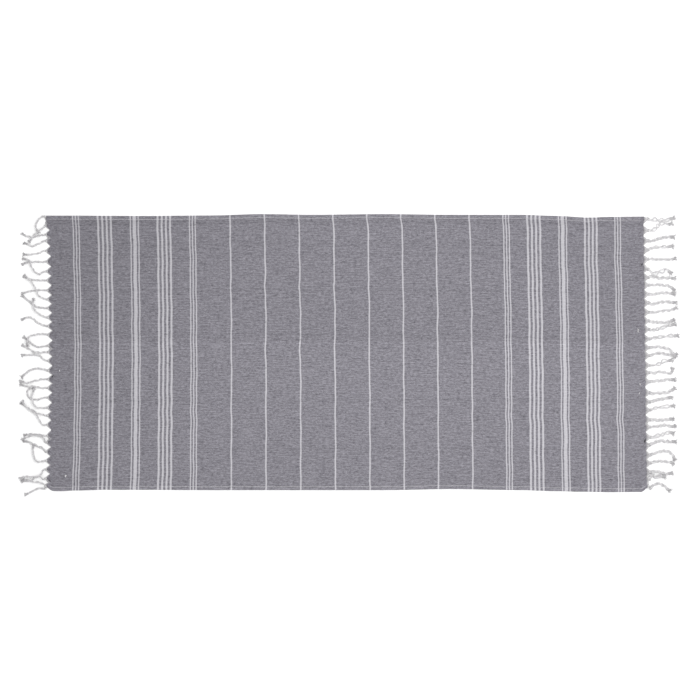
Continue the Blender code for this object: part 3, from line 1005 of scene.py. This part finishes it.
def lay_weave(along, across):
    """Where a place in the weave lies on the surface."""
    share = smooth_step((np.abs(along) - (WEAVE_END - END_BLEND)) / END_BLEND)
    at_left, at_right = end_line(-1, across) + WEAVE_END, end_line(1, across) - WEAVE_END
    at_end = np.where(along < 0, at_left, at_right)
    x = along + weft_drift(along, across) * (1 - share) + at_end * share
    far, near = far_edge(x), near_edge(x) - 1.2 * MM
    y = near + (far - near) * (across + HALF_WIDTH) / (2 * HALF_WIDTH)
    drawn_in = np.clip((np.abs(along) - (WEAVE_END - DRAWN_IN)) / DRAWN_IN, 0, 1) ** 1.6
    x = x + np.where(along < 0, -scallop(-1, y), scallop(1, y)) * drawn_in
    return x, y


def cloth_thickness(along, across, settings):
    """The sheet's thickness: a turned hem with a rounded fold, drawn down and puckered by its stitching."""
    from_edge = (HALF_WIDTH - np.abs(across)) / MM
    hem_width = settings.hem_width / MM
    fold = np.sqrt(np.clip(from_edge / 1.6, 0, 1))
    into_hem = 1 - smooth_step((from_edge - hem_width + 0.6) / 1.2)
    stitched = np.exp(-(((from_edge - hem_width + 1.2) / 0.9) ** 2))
    pucker_pitch = 8.4 * MM
    pucker = 0.5 + 0.5 * np.sin(along * 2 * math.pi / pucker_pitch)
    hem = (settings.hem_thickness - settings.thickness) * into_hem * (0.35 + 0.65 * fold)
    hem = hem * (1 - 0.4 * stitched * (0.6 + 0.4 * pucker))
    return settings.thickness + hem


def make_cloth(settings):
    """The woven sheet: an upper and a lower face on one grid of the weave, joined round the edge."""
    along, across = np.meshgrid(weave_columns(), weave_rows(settings), indexing="ij")
    x, y = lay_weave(along, across)
    lower = crease_lift(x, y) + ripples(x, y, settings.ripple)
    upper = lower + cloth_thickness(along, across, settings)
    columns, rows = along.shape
    grid = np.arange(columns * rows).reshape(columns, rows)
    count = columns * rows
    top = np.stack([grid[:-1, :-1], grid[:-1, 1:], grid[1:, 1:], grid[1:, :-1]], axis=-1).reshape(-1, 4)
    bottom = top[:, ::-1] + count
    rim = np.concatenate([grid[0, :], grid[1:, -1], grid[-1, -2::-1], grid[-2:0:-1, 0]])
    following = np.roll(rim, -1)
    wall = np.stack([rim, rim + count, following + count, following], axis=-1)
    points = np.concatenate([np.stack([x, y, z], axis=-1).reshape(-1, 3) for z in (upper, lower)])
    weave = np.stack([along, across], axis=-1).reshape(-1, 2)
    maps = {"Weave": np.concatenate([weave, weave])}
    cloth = build_mesh("towel_cloth", points, [top, bottom, wall], maps)
    cloth.data.materials.append(cloth_material(settings))
    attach(cloth, "root")
    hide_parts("cloth")
    return cloth


# The tassels.


def tassel_route(side, root, tassel, step):
    """The middle line of a tassel: out of the cloth's end, down to the surface, and over a neighbour."""
    start = np.array([end_line(side, root) + side * KNOT_OUT, root, 0])
    points = [start]
    first_out, _ = tassel.lie[0]
    if first_out > 10:
        points.append(start + [side * KNOT_OUT, 0, 0])
    for out, across in tassel.lie:
        points.append(np.array([side * (LIE_LINE + out * MM), root + across * MM, 0]))
    route, places = smooth_route(points, step)
    share = places / places[-1]
    route[:, 2] = LYING_HEIGHT + tassel.over * MM * smooth_step(share / 0.4)
    return route, places


def add_ply(yarn, route, places, phase, radius, pitch, loose, chance, tone):
    """One ply of the twist: a helix round the tassel's middle line that widens where the twist is loose."""
    sideways, upward = frames_along(route)
    share = places / places[-1]
    opened = smooth_step((share - 0.12) / 0.25) * (1 - smooth_step((share - 0.85) / 0.15))
    slack = 1 + 0.75 * loose * opened
    unevenness = np.sin(places / MM * 0.11 + chance.uniform(0, 6.28))
    angle = phase + 2 * math.pi * places / (pitch * (1 + 0.8 * loose)) + 0.9 * unevenness
    offset = sideways * (np.cos(angle) * radius * 0.98 * slack)[:, None]
    flat = 1 / (1 + 0.7 * loose * opened)
    offset += upward * (np.sin(angle) * radius * 0.85 * flat)[:, None]
    swell = 1 + 0.08 * np.sin(places / MM * 0.7 + phase * 3) + 0.05 * np.sin(places / MM * 1.9 + phase)
    thickness = radius * (1 - 0.14 * loose * opened) * swell
    yarn.add(route + offset, thickness, 7, tone + 0.12 * np.sin(places / MM * 0.37 + phase * 2))


def add_knot(yarn, centre, ahead, radius, thickness, turns, tone):
    """Yarn wound tightly round a tassel: a short helix."""
    sideways = np.cross([0, 0, 1], ahead)
    sideways /= np.linalg.norm(sideways)
    upward = np.cross(ahead, sideways)
    steps = int(turns * 10) + 1
    angle = np.linspace(0, 2 * math.pi * turns, steps)
    travel = np.linspace(-0.5, 0.5, steps) * turns * thickness * 1.5
    route = centre + ahead * travel[:, None]
    outward = sideways * np.cos(angle)[:, None] + upward * np.sin(angle)[:, None]
    route = route + outward * radius
    angles = 2 * math.pi * np.arange(6) / 6
    ring = outward[:, None] * np.cos(angles)[None, :, None] + ahead * np.sin(angles)[None, :, None]
    yarn.add_rings(route[:, None] + thickness * ring, tone)


def add_brush(yarn, tip, ahead, twist, settings, chance):
    """The loose yarn ends past the knot, which fan out on the surface."""
    heading = math.atan2(ahead[1], ahead[0])
    lean = chance.uniform(-0.25, 0.25)
    for strand in range(settings.brush_strands):
        share = strand / (settings.brush_strands - 1)
        spread = (share - 0.5) * twist.brush_spread + chance.uniform(-0.2, 0.2)
        length = settings.brush_length * twist.brush_length * chance.uniform(0.65, 1.1)
        bend = chance.uniform(-0.6, 0.6)
        shares = np.linspace(0, 1, 6)
        angle = heading + lean + spread * (0.55 + 0.45 * shares) + bend * shares**2
        steps = np.stack([np.cos(angle), np.sin(angle)], axis=-1) * (length / 5)
        flat = np.cumsum(steps, axis=0) - steps[0]
        height = tip[2] * (1 - 0.7 * shares) + chance.uniform(-0.5, 1.1) * MM * np.sin(shares * 2.4)
        aside = np.array([-math.sin(heading), math.cos(heading)]) * spread * 1.8 * MM
        route = np.stack([tip[0] + flat[:, 0] + aside[0], tip[1] + flat[:, 1] + aside[1], height], axis=-1)
        radius = (0.78 - 0.3 * shares) * MM
        yarn.add(route, radius, 4, chance.uniform(0.2, 0.95))


def add_stray_fibres(yarn, route, radius, chance):
    """Fine fibres that stand out from the twist."""
    for _ in range(7):
        start = chance.randrange(6, len(route) - 4)
        ahead = route[start + 2] - route[start - 2]
        heading = math.atan2(ahead[1], ahead[0]) + chance.choice((-1, 1)) * chance.uniform(0.3, 1.2)
        shares = np.linspace(0, 1, 5)
        angle = heading + chance.uniform(-1.2, 1.2) * shares
        length = chance.uniform(4, 8) * MM
        steps = np.stack([np.cos(angle), np.sin(angle)], axis=-1) * (length / 4)
        flat = np.cumsum(steps, axis=0) - steps[0]
        height = route[start][2] + radius * chance.uniform(-0.6, 1) * (1 - shares)
        points = np.stack([route[start][0] + flat[:, 0], route[start][1] + flat[:, 1], height], axis=-1)
        yarn.add(points, 0.16 * MM, 3, 1.0)


def add_fan(yarn, side, root, knot, settings, chance):
    """The warp yarns that leave the cloth's end and gather into the tassel's root."""
    low = max(root - 0.47 * TASSEL_PITCH, -FAN_LIMIT)
    high = max(min(root + 0.47 * TASSEL_PITCH, HALF_WIDTH - 4 * MM), low + 11 * MM)
    for strand in range(settings.fan_strands):
        share = strand / (settings.fan_strands - 1)
        place = (share - 0.5) * 0.94
        across = low + share * (high - low)
        edge = float(end_line(side, across) + side * scallop(side, np.array(across)))
        start = np.array([edge - side * 1.5 * MM, across, 0.9 * MM])
        leave = np.array([edge + side * 0.8 * MM, across - (across - root) * 0.06, 1.1 * MM])
        halfway = (leave + knot) / 2 + np.array([0, place * 2.0 * MM, 0])
        gather = knot + np.array([-side * 2.0 * MM, place * 3.4 * MM, -0.6 * MM])
        route, _ = smooth_route([start, leave, halfway, gather, knot + [side * 1.5 * MM, 0, 0]], 1.8 * MM)
        shares = np.linspace(0, 1, len(route))
        tone = chance.uniform(0.5, 1.0) * smooth_step(shares / 0.6 - 0.5 if side < 0 else shares + 0.45)
        yarn.add(route, 0.85 * MM, 4, tone)


def make_fringe(side, name, settings):
    """All the tassels of one end, joined in one mesh."""
    chance = random.Random(17 + side)
    yarn = YarnMesh()
    twist = TWISTS[side]
    for root, tassel in zip(root_places(side), TASSELS[side]):
        route, places = tassel_route(side, root, tassel, 1.2 * MM)
        body = places <= places[-1] - settings.brush_length * 0.8
        route, places = route[body], places[body]
        tone = twist.paleness + chance.uniform(-0.12, 0.12)
        radius = settings.ply_radius * twist.fullness * chance.uniform(0.92, 1.1)
        pitch = settings.twist_pitch * chance.uniform(0.8, 1.5)
        loose = tassel.loose + twist.slackness
        for phase, contrast in ((0.0, 0.15), (math.pi, -0.15)):
            add_ply(yarn, route, places, phase, radius, pitch, loose, chance, tone + contrast)
        ahead = route[-1] - route[-4]
        ahead /= np.linalg.norm(ahead)
        add_knot(yarn, route[-1], ahead, radius * 1.35, radius * 0.8, 2.2, chance.uniform(0.4, 0.8))
        out = route[6] - route[2]
        out /= np.linalg.norm(out)
        root_knot = route[4]
        add_knot(yarn, root_knot, out, radius * 1.3, radius * 0.8, 2.0, chance.uniform(0.45, 0.8))
        add_brush(yarn, route[-1] + ahead * MM, ahead, twist, settings, chance)
        add_stray_fibres(yarn, route, radius, chance)
        add_fan(yarn, side, root, root_knot, settings, chance)
    fringe = yarn.build(name)
    material = yarn_material("tassel_yarn", settings.pale_colour, settings.grey_colour, fibre_turns=500.0)
    fringe.data.materials.append(material)
    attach(fringe, "root")
    return fringe


# Small things on the cloth.


def cloth_top(along, across, settings):
    """The upper face of the cloth at a place in the weave."""
    along, across = np.asarray(along, float), np.asarray(across, float)
    x, y = lay_weave(along, across)
    lower = crease_lift(x, y) + ripples(x, y, settings.ripple)
    return np.stack([x, y, lower + cloth_thickness(along, across, settings)], axis=-1)


def make_stitches(settings, cloth_settings):
    """A row of stitches along the inner edge of each hem."""
    yarn = YarnMesh()
    chance = random.Random(5)
    step = settings.length + settings.gap
    inset = cloth_settings.hem_width - 1.2 * MM
    first = 8 * MM - WEAVE_END
    count = int(-2 * first / step)
    for across in (HALF_WIDTH - inset, inset - HALF_WIDTH):
        for stitch in range(count):
            shares = np.linspace(0, 1, 5)
            along = first + stitch * step + shares * settings.length
            drift = across + chance.uniform(-0.25, 0.25) * MM
            route = cloth_top(along, np.full(5, drift), cloth_settings)
            route[:, 2] += settings.thickness * (0.5 * np.sin(shares * math.pi) - 0.15)
            radius = settings.thickness * 0.5 * (0.7 + 0.3 * np.sin(shares * math.pi))
            yarn.add(route, radius, 4, chance.uniform(0.5, 1.0))
    stitches = yarn.build("hem_stitching")
    grey = tuple(channel * 0.8 for channel in settings.colour)
    stitches.data.materials.append(yarn_material("hem_thread", settings.colour, grey, fibre_turns=800.0))
    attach(stitches, "root")
    return stitches


def make_specks(pale, name, cloth_settings, tassel_settings):
    """Bits of lint, or dark thread ends, caught on the cloth."""
    yarn = YarnMesh()
    chance = random.Random(9)
    for speck in SPECKS:
        if speck.pale != pale:
            continue
        for fibre in range(3):
            turn = math.radians(speck.turn + chance.uniform(-25, 25))
            shares = np.linspace(-0.5, 0.5, 7)
            reach = speck.length * MM * (1 - 0.2 * fibre)
            curl = np.sin(shares * 3 + fibre) * speck.thickness * 0.4 * MM
            along = speck.along * MM + shares * reach * math.cos(turn) - curl * math.sin(turn)
            across = speck.across * MM + shares * reach * math.sin(turn) + curl * math.cos(turn)
            route = cloth_top(along, across, cloth_settings)
            route[:, 2] += speck.thickness * 0.25 * MM * (1 + 0.4 * fibre)
            radius = speck.thickness * 0.3 * MM * (1 - 1.6 * np.abs(shares) ** 2)
            yarn.add(route, radius, 5, 1.0)
    specks = yarn.build(name)
    colour = tassel_settings.pale_colour if pale else DARK_THREAD
    specks.data.materials.append(yarn_material(f"{name}_fibre", colour, colour, fibre_turns=300.0))
    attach(specks, "root")
    return specks


# Operators.


class HAMMAM_OT_cloth(bpy.types.Operator):
    """Weave the cloth with its hems, creases and stripes"""

    bl_idname = "hammam.cloth"
    bl_label = "Make cloth"

    def execute(self, context):
        make_cloth(context.scene.hammam_cloth)
        return {"FINISHED"}


class HAMMAM_OT_fringe(bpy.types.Operator):
    """Twist the tassels of one end"""

    bl_idname = "hammam.fringe"
    bl_label = "Make fringe"

    end: EnumProperty(
        name="End",
        description="Which end of the cloth",
        items=(("LEFT", "Left", "The end at -X"), ("RIGHT", "Right", "The end at +X")),
        default="LEFT",
    )

    def execute(self, context):
        side, name = (-1, "left") if self.end == "LEFT" else (1, "right")
        fringe = make_fringe(side, f"tassels_{name}", context.scene.hammam_tassels)
        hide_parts(f"fringe_{name}")
        return {"FINISHED"}


class HAMMAM_OT_stitching(bpy.types.Operator):
    """Stitch both hems"""

    bl_idname = "hammam.stitching"
    bl_label = "Make stitching"

    def execute(self, context):
        make_stitches(context.scene.hammam_stitches, context.scene.hammam_cloth)
        return {"FINISHED"}


class HAMMAM_OT_specks(bpy.types.Operator):
    """Scatter the lint and the dark thread ends"""

    bl_idname = "hammam.specks"
    bl_label = "Make lint and thread ends"

    def execute(self, context):
        scene = context.scene
        make_specks(True, "lint", scene.hammam_cloth, scene.hammam_tassels)
        make_specks(False, "dark_thread_ends", scene.hammam_cloth, scene.hammam_tassels)
        return {"FINISHED"}


class HAMMAM_OT_stage(bpy.types.Operator):
    """Set the floor, the light and the camera"""

    bl_idname = "hammam.stage"
    bl_label = "Make stage"

    def execute(self, context):
        settings = context.scene.hammam_stage
        make_floor(settings)
        make_lights(settings)
        make_camera(settings)
        context.scene.view_settings.view_transform = "Standard"
        return {"FINISHED"}


def make_floor(settings):
    """A pale floor just under the towel, wide enough to fill any view."""
    places = np.linspace(-FLOOR_REACH, FLOOR_REACH, 5)
    x, y = np.meshgrid(places, places, indexing="ij")
    grid = np.arange(25).reshape(5, 5)
    quads = np.stack([grid[:-1, :-1], grid[1:, :-1], grid[1:, 1:], grid[:-1, 1:]], axis=-1).reshape(-1, 4)
    points = np.stack([x, y, np.full_like(x, -0.2 * MM)], axis=-1).reshape(-1, 3)
    floor = build_mesh("floor", points, [quads], {}, smooth=False)
    floor.data.materials.append(floor_material(settings.floor_colour))


def make_lights(settings):
    """Even light from all round, and one soft lamp above the right half."""
    world = bpy.data.worlds.new("soft_studio")
    world.use_nodes = True
    background = world.node_tree.nodes["Background"]
    background.inputs["Color"].default_value = (1, 1, 1, 1)
    background.inputs["Strength"].default_value = settings.soft_light
    bpy.context.scene.world = world
    light = bpy.data.lights.new("key_light", "AREA")
    light.shape = "RECTANGLE"
    light.size, light.size_y = LAMP_SIZE
    light.energy = settings.key_light
    lamp = bpy.data.objects.new("key_light", light)
    lamp.location = LAMP_PLACE
    lamp.rotation_euler = (Vector(LAMP_AIM) - lamp.location).to_track_quat("-Z", "Y").to_euler()
    lamp.visible_camera = False
    bpy.context.scene.collection.objects.link(lamp)


def make_camera(settings):
    """A long lens straight above the middle of the towel."""
    data = bpy.data.cameras.new("camera")
    data.sensor_width = 36
    data.lens = data.sensor_width * settings.camera_height / settings.view_width
    data.clip_end = 100
    camera = bpy.data.objects.new("camera", data)
    camera.location = (*VIEW_CENTRE, settings.camera_height)
    bpy.context.scene.collection.objects.link(camera)
    bpy.context.scene.camera = camera


class HAMMAM_PT_panel(bpy.types.Panel):
    """The towel's settings and the steps that build it"""

    bl_label = "Hammam towel"
    bl_idname = "HAMMAM_PT_panel"
    bl_space_type = "VIEW_3D"
    bl_region_type = "UI"
    bl_category = "Towel"

    def draw(self, context):
        for label, group_name, operators in PANEL_ROWS:
            box = self.layout.box()
            box.label(text=label)
            group = getattr(context.scene, group_name)
            for name in group.bl_rna.properties.keys():
                if name not in ("rna_type", "name"):
                    box.prop(group, name)
            for operator in operators:
                box.operator(operator)


PANEL_ROWS = (
    ("Cloth", "hammam_cloth", ("hammam.cloth", "hammam.specks")),
    ("Tassels", "hammam_tassels", ("hammam.fringe",)),
    ("Stitching", "hammam_stitches", ("hammam.stitching",)),
    ("Stage", "hammam_stage", ("hammam.stage",)),
)

SETTINGS = {
    "hammam_cloth": ClothSettings,
    "hammam_tassels": TasselSettings,
    "hammam_stitches": StitchSettings,
    "hammam_stage": StageSettings,
}

CLASSES = (
    *SETTINGS.values(),
    HAMMAM_OT_cloth,
    HAMMAM_OT_fringe,
    HAMMAM_OT_stitching,
    HAMMAM_OT_specks,
    HAMMAM_OT_stage,
    HAMMAM_PT_panel,
)


def register():
    for cls in CLASSES:
        bpy.utils.register_class(cls)
    for name, settings in SETTINGS.items():
        setattr(bpy.types.Scene, name, PointerProperty(type=settings))


def unregister():
    for name in SETTINGS:
        delattr(bpy.types.Scene, name)
    for cls in reversed(CLASSES):
        bpy.utils.unregister_class(cls)


def main():
    register()
    bpy.ops.hammam.stage()
    bpy.ops.hammam.cloth()
    bpy.ops.hammam.fringe(end="LEFT")
    bpy.ops.hammam.fringe(end="RIGHT")
    bpy.ops.hammam.stitching()
    bpy.ops.hammam.specks()


if __name__ == "__main__":
    main()
